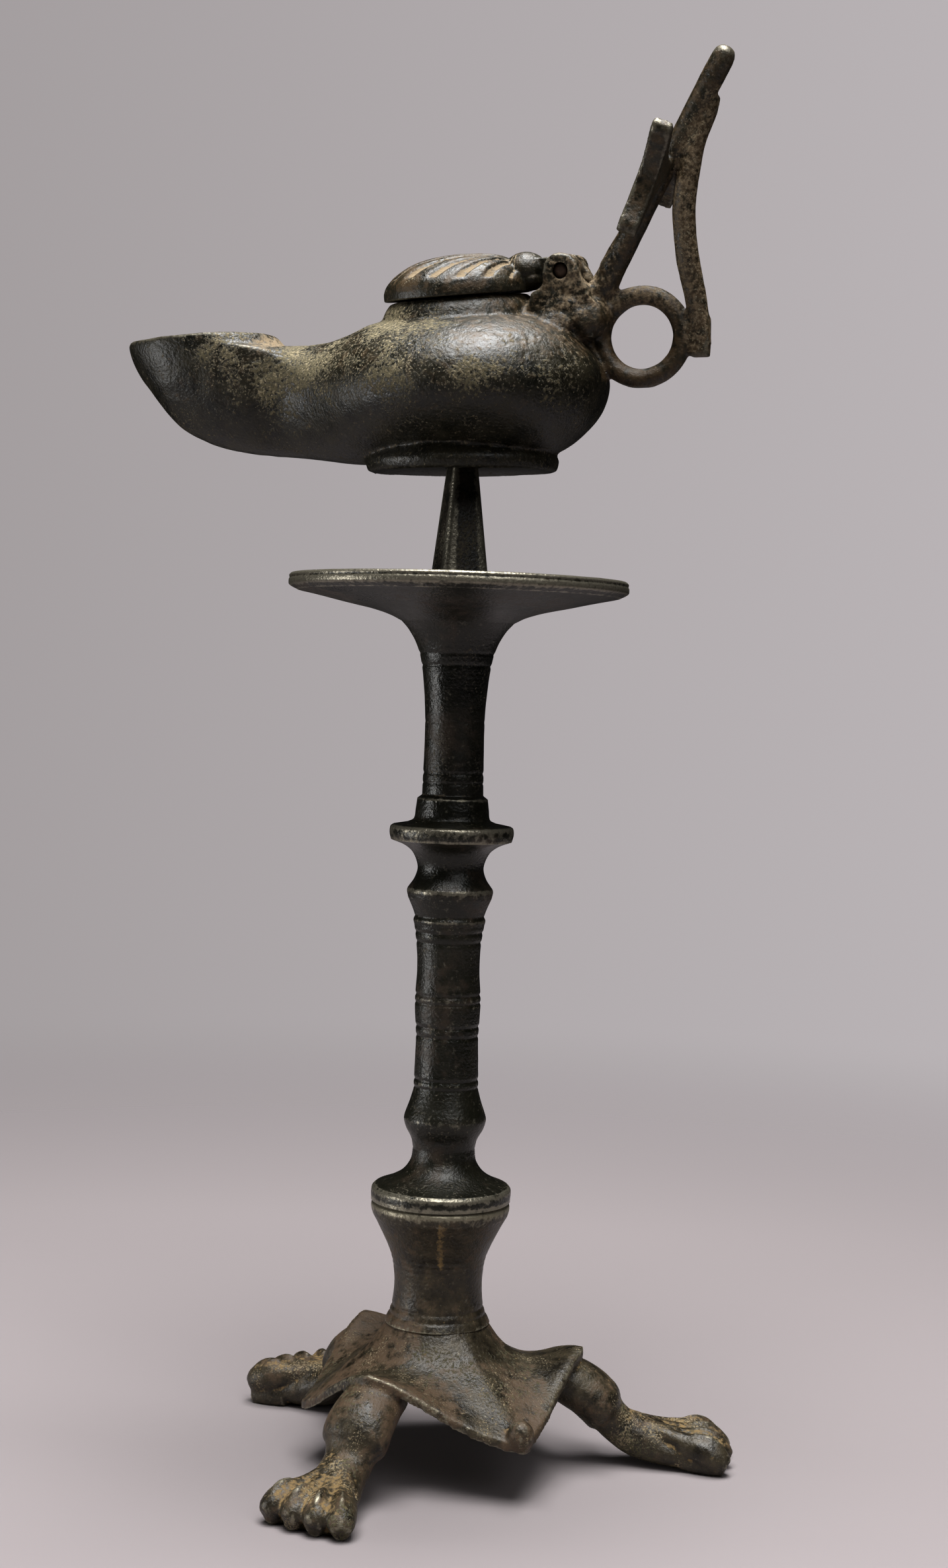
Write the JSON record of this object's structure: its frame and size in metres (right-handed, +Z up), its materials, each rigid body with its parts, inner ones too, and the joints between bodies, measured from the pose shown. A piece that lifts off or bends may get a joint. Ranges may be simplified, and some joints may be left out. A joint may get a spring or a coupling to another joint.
{
  "type": "oil lamp on pricket stand",
  "caption": "Bronze oil lamp with a hinged shell lid, finger ring and cross handle, resting on the spike of a turned lampstand with a drip pan and a tripod of lion legs.",
  "frame": {"origin": "middle of the whole object's footprint box, on the surface that the paws stand on", "axes": "+Z up along the stand; -Y towards the viewer, so +X is the viewer's right, where the lamp's handle is; the nozzle points to -X and a little to +Y"},
  "size_m": [0.1964, 0.1426, 0.4182],
  "materials": {
    "tripod_bronze": "cast bronze, mauve-brown patina with tan deposits and worn bright edges",
    "shaft_bronze": "turned cast bronze, dark olive-black patina, half gloss",
    "lamp_bronze": "cast bronze, near-black olive patina with pitted crust and tan deposits",
    "pin_iron": "corroded wrought pin, dull brown-black"
  },
  "bodies": {
    "stand_and_lamp": {"tripod_base": "tripod_bronze", "shaft_with_pan": "shaft_bronze", "lamp_body": "lamp_bronze", "hinge_pin": "pin_iron"},
    "lid": {"shell_lid": "lamp_bronze"}
  },
  "joints": [
    {"name": "lid_hinge", "type": "hinge", "parent": "stand_and_lamp", "child": "lid", "pos_m": [0.03516, -0.00898, 0.36019], "axis": [0.2702, 0.9494, 0.1599], "range_deg": [0, 110]}
  ]
}
